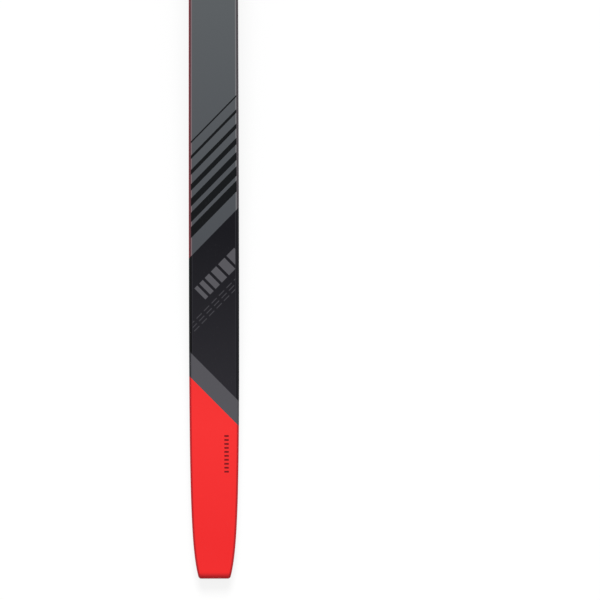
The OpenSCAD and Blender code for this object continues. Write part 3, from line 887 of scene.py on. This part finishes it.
def base_finish():
    """Sintered black plastic with long ground lines, thin paler patches of wax that are partly a painted sheen,
    and a few scratches.
    """
    base = Finish("ground_base")
    ground = base.noise((0.5 * MM, 160 * MM, 0.5 * MM), detail=3.0)
    wax_haze_and_sheen = base.noise((25 * MM, 90 * MM, 25 * MM), detail=4.0)
    scratches = base.patches((0.3 * MM, 60 * MM, 0.3 * MM), share=0.1, strength=0.35)
    colour = base.mix(base.spread(ground), srgb(16, 16, 18), srgb(46, 46, 50))
    # Paler patches, partly wax and partly a painted sheen.
    colour = base.mix(base.crests(wax_haze_and_sheen, strength=0.4), colour, srgb(66, 66, 70))
    colour = base.mix(scratches, colour, srgb(96, 96, 100))
    base.set(base_color=colour, roughness=base.spread(wax_haze_and_sheen, 0.34, 0.52), specular_ior_level=0.35)
    base.bump(ground, depth=0.05 * MM)
    return base.material


def sidewall_finish():
    """Black edge plastic with the plane's marks along it."""
    wall = Finish("planed_sidewall")
    planed = wall.noise((0.3 * MM, 70 * MM, 0.3 * MM), detail=3.0)
    tone = wall.noise(40 * MM, detail=4.0)
    nicks = wall.patches((0.5 * MM, 3 * MM, 0.5 * MM), share=0.04, strength=0.4)
    colour = wall.mix(wall.spread(tone), srgb(29, 29, 32), srgb(41, 41, 45))
    colour = wall.mix(wall.crests(planed, strength=0.3), colour, srgb(62, 62, 67))
    colour = wall.mix(nicks, colour, srgb(105, 105, 110))
    wall.set(base_color=colour, roughness=wall.spread(planed, 0.36, 0.5), specular_ior_level=0.4)
    wall.bump(planed, depth=0.02 * MM)
    return wall.material


TOW_W = 1.8 * MM
TOW_SOFT = 0.6


def laminate_finish():
    """Cured fibre tows that cross each other, in clear resin."""
    fibre = Finish("fibre_laminate")
    x, y, z = fibre.axes()
    across = fibre.math("ADD", x, z)
    ways = [fibre.math(sign, y, across) for sign in ("ADD", "SUBTRACT")]
    waves = [fibre.math("SINE", fibre.product(way, math.pi / TOW_W)) for way in ways]
    weave = fibre.ramp(fibre.product(*waves), -TOW_SOFT, TOW_SOFT)
    strands = fibre.noise((0.12 * MM, 3 * MM, 0.12 * MM))
    colour = fibre.mix(weave, srgb(38, 40, 43), srgb(66, 69, 73))
    colour = fibre.mix(fibre.crests(strands, strength=0.5), colour, srgb(92, 95, 99))
    fibre.set(base_color=colour, roughness=fibre.spread(strands, 0.3, 0.48))
    fibre.bump(weave, depth=0.04 * MM)
    return fibre.material


def wood_finish(name, early, late, pore):
    """Planed core wood, with growth bands and pores that run along the ski."""
    wood = Finish(name)
    bands = wood.noise((3.5 * MM, 260 * MM, 3.5 * MM), detail=3.0)
    pores = wood.patches((0.25 * MM, 7 * MM, 0.25 * MM), share=0.25, strength=0.5)
    colour = wood.mix(wood.ramp(bands, NOISE_LOW, NOISE_HIGH), early, late)
    wood.set(base_color=wood.mix(pores, colour, pore), roughness=wood.spread(bands, 0.55, 0.72))
    wood.bump(pores, depth=0.1 * MM)
    return wood.material


# Finishes of the binding

# Edges, painted paler as worn and as a painted highlight: where in a noise their patches start and are full, and
# how far these show through.
WEAR_HIGHLIGHT_PATCHES = (0.4, 0.64)
WEAR_HIGHLIGHT_STRENGTH = 0.65
STEEL_WEAR_HIGHLIGHT_STRENGTH = 0.6


def moulded_finish(name, dark, light, pale_marks_and_highlight, rough, depth=0.05 * MM, speckle=0.2):
    """Moulded plastic with a fine grain and light scuffs, paler on its edges, which are worn and carry a painted
    highlight.
    """
    plastic = Finish(name)
    tone = plastic.noise(9 * MM, detail=5.0)
    peaks = plastic.noise(0.45 * MM)
    scuffs = plastic.most(plastic.patches((7 * MM, 0.25 * MM, 0.7 * MM), share=0.08, strength=0.25),
                          plastic.patches((0.25 * MM, 9 * MM, 0.7 * MM), share=0.06, strength=0.25))
    blotches = plastic.ramp(plastic.noise(5 * MM, detail=5.0), *WEAR_HIGHLIGHT_PATCHES, stop=WEAR_HIGHLIGHT_STRENGTH)
    wear_and_highlights = plastic.product(plastic.attribute("wear_and_highlight"), blotches)
    colour = plastic.mix(plastic.spread(tone), dark, light)
    # The pale colour marks grain speckle and scuffs, and the edges, which are worn and carry a painted highlight.
    for mask in (plastic.crests(peaks, speckle), scuffs, wear_and_highlights):
        colour = plastic.mix(mask, colour, pale_marks_and_highlight)
    plastic.set(base_color=colour, roughness=plastic.spread(tone, *rough), specular_ior_level=0.4)
    plastic.bump(peaks, depth)
    return plastic


SCALE_PITCH = 5 * MM
SCALE_GROUP = 4
SCALE_TICK_W = 0.7 * MM
SCALE_SHORT = (14 * MM, 17 * MM)
SCALE_LONG = (11 * MM, 17 * MM)
SCALE_MARGIN = 30 * MM
SCALE_STRENGTH = 0.85
SCALE_WHITE = srgb(176, 178, 180)


def plate_finish():
    """The plate's plastic, with a printed scale of ticks beside its rack."""
    plate = moulded_finish("plate_plastic", srgb(31, 32, 35), srgb(42, 43, 47), srgb(92, 94, 98),
                           rough=(0.4, 0.56))
    x, y, z = plate.axes()
    low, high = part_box("binding_plate")
    across = plate.math("ABSOLUTE", x)
    short = plate.between(across, *SCALE_SHORT)
    long = plate.product(plate.between(across, *SCALE_LONG),
                         plate.under(plate.repeated(y, SCALE_PITCH * SCALE_GROUP), SCALE_PITCH))
    tick = plate.under(plate.repeated(y, SCALE_PITCH), SCALE_TICK_W)
    inside = plate.between(y, low.y + SCALE_MARGIN, high.y - SCALE_MARGIN)
    on_top = plate.less(1.0, plate.under(z, high.z - PRINT_SOFT))
    mask = plate.product(plate.most(short, long), tick, inside, on_top, SCALE_STRENGTH)
    colour = plate.shader.inputs["Base Color"].links[0].from_socket
    plate.set(base_color=plate.mix(mask, colour, SCALE_WHITE))
    return plate.material


def rubber_finish():
    """Moulded rubber, dull and a little dusty."""
    rubber = Finish("soft_rubber")
    dust = rubber.noise(5 * MM, detail=5.0)
    skin = rubber.noise(0.5 * MM, detail=3.0)
    patchy = rubber.ramp(skin, NOISE_LOW, NOISE_HIGH, stop=0.5)
    wear_and_highlights = rubber.product(rubber.attribute("wear_and_highlight"), patchy)
    colour = rubber.mix(rubber.ramp(dust, NOISE_LOW, NOISE_TOP), srgb(46, 46, 49), srgb(66, 66, 69))
    # Paler edges, partly worn and partly a painted highlight.
    colour = rubber.mix(wear_and_highlights, colour, srgb(92, 92, 95))
    rubber.set(base_color=colour, roughness=rubber.spread(dust, 0.66, 0.86), specular_ior_level=0.3)
    rubber.bump(skin, depth=0.06 * MM)
    return rubber.material


def steel_finish(name, pale, dull, brush, depth):
    """Bright metal with marks of the given size, duller in stains, and brighter on its edges, partly worn bright
    and partly a painted highlight.
    """
    steel = Finish(name)
    marks = steel.noise(brush, detail=3.0)
    stains = steel.noise(4 * MM, detail=5.0)
    wear_and_highlights = steel.product(steel.attribute("wear_and_highlight"), STEEL_WEAR_HIGHLIGHT_STRENGTH)
    colour = steel.mix(steel.ramp(stains, NOISE_LOW, NOISE_TOP), pale, dull)
    # Brighter edges, partly worn and partly a painted highlight.
    colour = steel.mix(wear_and_highlights, colour, srgb(226, 227, 229))
    steel.set(base_color=colour, metallic=1.0, roughness=steel.spread(marks, 0.295, 0.42))
    steel.bump(marks, depth)
    return steel.material


# Binding pieces

HOUSING_EDGE = 0.4 * MM
HOUSING_CROWN = 1.1 * MM
PLATE_EDGE = 0.35 * MM
STEEL_EDGE = 0.28 * MM
SCREW_EDGE = 0.14 * MM
RUBBER_EDGE = 0.4 * MM

DECK_RIB_PITCH = 4 * MM
DECK_RIB_W = 0.7 * MM
DECK_RIB_H = 0.5 * MM
DECK_RIB_HALF = 6.2 * MM
DECK_RIB_FREE = 4 * MM

GRIP_PITCH = 3 * MM
GRIP_W = 0.65 * MM
GRIP_H = 0.5 * MM
GRIP_HALF = 6.5 * MM
GRIP_FROM_HINGE = 20 * MM
GRIP_FROM_TIP = 19 * MM

# Cheeks of the toe housing: level above the hinge, then sloping down to the front.
CHEEK_FLAT = 7 * MM
CHEEK_FALL = 0.194
CHEEK_RIB_FROM = 13 * MM
CHEEK_RIB_FREE = 22 * MM
CHEEK_RIB_PITCH = 3.2 * MM
CHEEK_RIB_W = 0.8 * MM
CHEEK_RIB_H = 0.6 * MM
CHEEK_RIB_FOOT = 1.4 * MM
CHEEK_RIB_HEAD = 2.2 * MM


def spaced(start, stop, pitch):
    """Places from start at every pitch, up to stop."""
    return [start + i * pitch for i in range(int((stop - start) / pitch) + 1)]


def deck_ribs(start, stop):
    """Ribs across a deck that keep a boot's sole from slipping."""
    return [(Matrix.Translation((0.0, place, DECK_Z)), DECK_RIB_HALF, DECK_RIB_W, DECK_RIB_H)
            for place in spaced(start + DECK_RIB_FREE, stop - DECK_RIB_FREE, DECK_RIB_PITCH)]


def cheek_ribs():
    """Upright ribs on the outer sides of the toe housing's cheeks, shorter where these are lower."""
    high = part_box("toe_housing")[1]
    ribs = []
    for place in spaced(HINGE_Y + CHEEK_RIB_FROM, high.y - CHEEK_RIB_FREE, CHEEK_RIB_PITCH):
        low = DECK_Z + CHEEK_RIB_FOOT
        top = high.z - CHEEK_FALL * (place - HINGE_Y - CHEEK_FLAT) - CHEEK_RIB_HEAD
        for side in (-1, 1):
            upright = Matrix.Rotation(side * math.pi / 2, 4, "Y")
            spot = Matrix.Translation((side * PIN_HIGH.x, place, (low + top) / 2))
            ribs.append((spot @ upright, (top - low) / 2, CHEEK_RIB_W, CHEEK_RIB_H))
    return ribs


def make_housings(material):
    toe_ribs = deck_ribs(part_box("toe_housing")[0].y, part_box("bar_seat")[0].y) + cheek_ribs()
    heel_ribs = deck_ribs(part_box("heel_pad")[1].y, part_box("heel_lock_screw")[0].y)
    for node, ribs in (("toe_housing", toe_ribs), ("heel_housing", heel_ribs)):
        softened("moulded", material, HOUSING_EDGE, node, crown=HOUSING_CROWN, ribs=ribs)


# Release lever: a sloping paddle with a dimple for a pole's point, on two arms round the hinge pin.
LEVER_STEP = 0.9 * MM
LEVER_COLUMNS = 24
LEVER_TIP_UP = 5.8 * MM
LEVER_TIP_LOW = 2.4 * MM
LEVER_TIP_FLAT = 5 * MM
LEVER_ROOT_T = 3.7 * MM
LEVER_TIP_CORNER = 4 * MM
LEVER_NOSE_TOP = 2.0 * MM
LEVER_NOSE_LOW = 1.2 * MM
LEVER_ROUND = 1.0 * MM
LEVER_ROUND_SHARE = 0.45
LEVER_CROWN = 0.25 * MM
LEVER_THINNEST = 0.12 * MM
PIN_CLEAR = 0.06 * MM
DIMPLE_FROM_TIP = 12 * MM
DIMPLE_R = 3.6 * MM
DIMPLE_DEPTH = 1.2 * MM
HUB_R = 4.2 * MM
BOSS_R = 2.9 * MM
ARM_W = 2.2 * MM
ARM_EDGE = 0.3 * MM
HOLE_SIDES = 36


def taken_off(distance, radius):
    """How far a round end of that radius draws back at a distance from the end."""
    short = max(0.0, radius - distance)
    return radius - math.sqrt(radius ** 2 - short ** 2)


class LeverLines:
    """The paddle's half width, top and underside along the ski, from the frame's own boxes."""

    def __init__(self):
        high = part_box("release_lever")[1]
        self.half = high.x
        self.tip = high.y
        self.crown = high.z
        self.slope = (DECK_Z + LEVER_TIP_UP - high.z) / (high.y - HINGE_Y)

    def top_line(self, place):
        return self.crown + self.slope * (place - HINGE_Y)

    def top(self, place):
        return (self.top_line(place) - taken_off(self.tip - place, LEVER_NOSE_TOP)
                - taken_off(place - HINGE_Y, LEVER_ROUND))

    def underside(self, place):
        stop = self.tip - LEVER_TIP_FLAT
        start = HINGE_Y + HUB_R
        share = min(1.0, (place - start) / (stop - start))
        height = (1 - share) * (self.crown - LEVER_ROOT_T) + share * (DECK_Z + LEVER_TIP_LOW)
        height += taken_off(self.tip - place, LEVER_NOSE_LOW)
        reach = PIN_R + PIN_CLEAR
        if place - HINGE_Y < reach:
            height = max(height, HINGE_Z + math.sqrt(reach ** 2 - (place - HINGE_Y) ** 2))
        return height

    def dimple(self, x, place):
        away = math.hypot(x, place - self.tip + DIMPLE_FROM_TIP) / DIMPLE_R
        return DIMPLE_DEPTH * (1 - away ** 2) ** 2 if away < 1 else 0.0

    def ring(self, place):
        """The paddle's section, as points across its top and back along its underside."""
        half = self.half - taken_off(self.tip - place, LEVER_TIP_CORNER)
        low = self.underside(place)
        top = max(self.top(place), low + LEVER_THINNEST)
        crown = LEVER_CROWN if top - low > LEVER_ROUND else 0.0
        reach = min(LEVER_ROUND, LEVER_ROUND_SHARE * (top - low))
        above, below = [], []
        for i in range(LEVER_COLUMNS + 1):
            share = math.sin(math.pi * (i / LEVER_COLUMNS - 0.5))
            x = half * share
            drop = taken_off(half - abs(x), reach)
            above.append((x, place, top - drop - crown * share ** 2 - self.dimple(x, place)))
            below.append((x, place, low + drop))
        return above + below[-2:0:-1]


def hull_outline(first, first_r, second, second_r):
    """The outline round two circles, as (y, z) points."""
    way = second - first
    aim = math.atan2(way.y, way.x)
    lean = math.acos((first_r - second_r) / way.length)
    return (arc(first, first_r, aim + lean, aim + 2 * math.pi - lean, HOLE_SIDES)
            + arc(second, second_r, aim - lean, aim + lean, HOLE_SIDES))


def add_arm(build, side, half):
    """One arm, from the hinge pin's hub to the crank pin's boss, with a hole for each."""
    low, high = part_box("crank_pin")
    hub = Vector((HINGE_Y, HINGE_Z))
    boss = Vector(((low.y + high.y) / 2, (low.z + high.z) / 2))
    crank_r = (high.z - low.z) / 2
    loops = [hull_outline(hub, HUB_R, boss, BOSS_R), circle(hub, PIN_R + PIN_CLEAR, HOLE_SIDES),
             circle(boss, crank_r + PIN_CLEAR, HOLE_SIDES)]
    edges = []
    for loop in loops:
        corners = [build.verts.new((side * (half - ARM_W), p.x, p.y)) for p in loop]
        edges += [build.edges.new((a, b)) for a, b in zip(corners, corners[1:] + corners[:1])]
    filled = bmesh.ops.triangle_fill(build, use_beauty=True, edges=edges)["geom"]
    faces = [g for g in filled if isinstance(g, bmesh.types.BMFace)]
    pulled = bmesh.ops.extrude_face_region(build, geom=faces)["geom"]
    corners = [g for g in pulled if isinstance(g, bmesh.types.BMVert)]
    bmesh.ops.translate(build, verts=corners, vec=(side * ARM_W, 0, 0))


def make_lever(material):
    lines = LeverLines()
    build = bmesh.new()
    for side in (-1, 1):
        add_arm(build, side, lines.half)
    bmesh.ops.recalc_face_normals(build, faces=build.faces)
    round_edges(build, ARM_EDGE)
    count = round((lines.tip - HINGE_Y) / LEVER_STEP)
    shares = [math.sin(math.pi / 2 * i / count) for i in range(count + 1)]
    places = [HINGE_Y + (lines.tip - HINGE_Y) * share for share in shares]
    join_rings(build, [[build.verts.new(p) for p in lines.ring(place)] for place in places])
    tilt = Matrix.Rotation(math.atan(lines.slope), 4, "X")
    for place in spaced(HINGE_Y + GRIP_FROM_HINGE, lines.tip - GRIP_FROM_TIP, GRIP_PITCH):
        spot = Matrix.Translation((0.0, place, lines.top_line(place)))
        add_rib(build, spot @ tilt, GRIP_HALF, GRIP_W, GRIP_H)
    add_piece("red", "release_lever", build, material)


# Rubber bumper ahead of the boot bar, with notches across its slope so that it can fold.
BUMPER_BACK = 3 * MM
BUMPER_TOP = 6 * MM
BUMPER_BROW = 3 * MM
NOTCHES = 3
NOTCH_MOUTH = 2.3 * MM
NOTCH_FLOOR = 1.3 * MM
NOTCH_DEPTH = 0.9 * MM


def notched(start, stop):
    """Points from start to stop with notches cut into the left of the way."""
    way = (stop - start).normalized()
    mouth = way * NOTCH_MOUTH / 2
    floor = way * NOTCH_FLOOR / 2
    deep = Vector((-way.y, way.x)) * NOTCH_DEPTH
    points = []
    for i in range(NOTCHES):
        middle = start + (stop - start) * (i + 1) / (NOTCHES + 1)
        points += [middle - mouth, middle - floor + deep, middle + floor + deep, middle + mouth]
    return points


def bumper_outline(low, high):
    """The bumper seen from the side, as (y, z) points against the clock."""
    sill = Vector((high.y, low.z))
    crest = Vector((high.y, high.z))
    brow = Vector((high.y - BUMPER_TOP, high.z))
    foot = Vector((low.y, low.z + BUMPER_BACK))
    line = [Vector((low.y, low.z)), sill]
    line += rounded_corner(sill, crest, brow, BUMPER_BROW, steps=6)
    return line + [brow] + notched(brow, foot) + [foot]


def make_bumper(material):
    low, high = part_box("flexor")
    outline = bumper_outline(low, high)
    build = bmesh.new()
    join_rings(build, [[build.verts.new((x, *p)) for p in outline] for x in (low.x, high.x)])
    round_edges(build, RUBBER_EDGE)
    keep_flats(add_piece("rubber", "flexor", build, material))


# Turned pins with rounded ends and a dimple in each.
PIN_SIDES = 40
PIN_ROUND = 0.45 * MM
PIN_DIMPLE_R = 0.55 * MM
PIN_DIMPLE_DEPTH = 0.3 * MM


def pin_profile(half, radius):
    """Distance from the middle and radius, from the dimple's floor at one end to that at the other."""
    rim = (half, PIN_DIMPLE_R + PIN_DIMPLE_DEPTH)
    line = [Vector((half - PIN_DIMPLE_DEPTH, PIN_DIMPLE_R)), Vector(rim)]
    line += rounded_corner(rim, (half, radius), (0, radius), PIN_ROUND)
    return line + [Vector((-p.x, p.y)) for p in reversed(line)]


def make_pin(node, material):
    low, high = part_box(node)
    middle = (low + high) / 2
    build = bmesh.new()
    rings = []
    for along, radius in pin_profile((high.x - low.x) / 2, (high.z - low.z) / 2):
        ring = circle(Vector((middle.z, middle.y)), radius, PIN_SIDES)
        rings.append([build.verts.new((middle.x + along, p.y, p.x)) for p in ring])
    join_rings(build, rings)
    add_piece("turned", node, build, material)


# Closing spring: one wire in a helix whose turns lie closer at its ends.
SPRING_TURNS = 6
TURN_RINGS = 24
WIRE_SIDES = 10
WIRE_R = 0.5 * MM
END_CLOSENESS = 0.45


def make_spring(material):
    low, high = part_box("jaw_spring")
    radius = (high.x - low.x) / 2 - WIRE_R
    axis_z = (low.z + high.z) / 2
    start, stop = low.y + WIRE_R, high.y - WIRE_R
    section = circle(Vector((0, 0)), WIRE_R, WIRE_SIDES)
    build = bmesh.new()
    rings = []
    for i in range(SPRING_TURNS * TURN_RINGS + 1):
        share = i / (SPRING_TURNS * TURN_RINGS)
        along = share - END_CLOSENESS * math.sin(2 * math.pi * share) / (2 * math.pi)
        turn = 2 * math.pi * i / TURN_RINGS
        out = Vector((math.sin(turn), 0.0, math.cos(turn)))
        middle = Vector((0.0, start + (stop - start) * along, axis_z)) + out * radius
        rings.append([build.verts.new(middle + out * p.x + Vector((0.0, p.y, 0.0))) for p in section])
    join_rings(build, rings)
    spring = add_piece("wound", "jaw_spring", build, material)
    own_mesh(spring)


# Making

def make_stage():
    bpy.context.scene.view_settings.view_transform = "Standard"
    make_camera()
    make_sun()
    make_sky()
    make_floor()


def make_ski():
    make_skin("printed", "top_sheet", film_lines(), film_half_section, film_finish())
    make_skin("ground", "running_base", base_lines(), base_half_section, base_finish())
    smoothed("planed", sidewall_finish(), "left_sidewall", "right_sidewall")
    smoothed("woven", laminate_finish(), "lower_laminate", "upper_laminate")
    light_wood = wood_finish("light_wood", srgb(222, 198, 155), srgb(203, 172, 122), srgb(160, 124, 78))
    dense_wood = wood_finish("dense_wood", srgb(198, 158, 108), srgb(172, 126, 76), srgb(112, 74, 40))
    fill = moulded_finish("fill_plastic", srgb(28, 28, 30), srgb(38, 38, 41), srgb(80, 80, 84),
                          rough=(0.45, 0.61))
    dress(light_wood, "rear_core", "front_core")
    dress(dense_wood, "binding_core")
    dress(fill.material, "tail_block_insert", "tip_block_insert")


def make_plastics():
    """The binding's plate, housings and lever, and its rubber."""
    softened("ticked", plate_finish(), PLATE_EDGE, "binding_plate")
    housing = moulded_finish("housing_plastic", srgb(38, 39, 43), srgb(50, 51, 56), srgb(104, 106, 111),
                             rough=(0.44, 0.6))
    make_housings(housing.material)
    lever = moulded_finish("lever_plastic", srgb(208, 30, 36), srgb(222, 42, 46), srgb(240, 120, 118),
                           rough=(0.295, 0.365), depth=0.012 * MM, speckle=0.05)
    make_lever(lever.material)
    rubber = rubber_finish()
    make_bumper(rubber)
    softened("ribbed", rubber, RUBBER_EDGE, "heel_pad")


def make_metal():
    """The binding's seat and jaw, pins, spring and screws."""
    stamped = steel_finish("stamped_steel", srgb(190, 192, 195), srgb(150, 152, 156),
                           brush=(6 * MM, 0.2 * MM, 0.2 * MM), depth=0.02 * MM)
    turned = steel_finish("turned_steel", srgb(188, 190, 193), srgb(156, 158, 162),
                          brush=(0.12 * MM, 5 * MM, 5 * MM), depth=0.01 * MM)
    plated = steel_finish("plated_steel", srgb(182, 184, 184), srgb(150, 150, 146),
                          brush=0.35 * MM, depth=0.02 * MM)
    softened("stamped", stamped, STEEL_EDGE, "bar_seat", "jaw")
    for node in ("hinge_pin", "crank_pin"):
        make_pin(node, turned)
    make_spring(turned)
    softened("plated", plated, SCREW_EDGE, "plate_screws", "toe_lock_screw", "heel_lock_screw")


make_stage()
make_ski()
make_plastics()
make_metal()
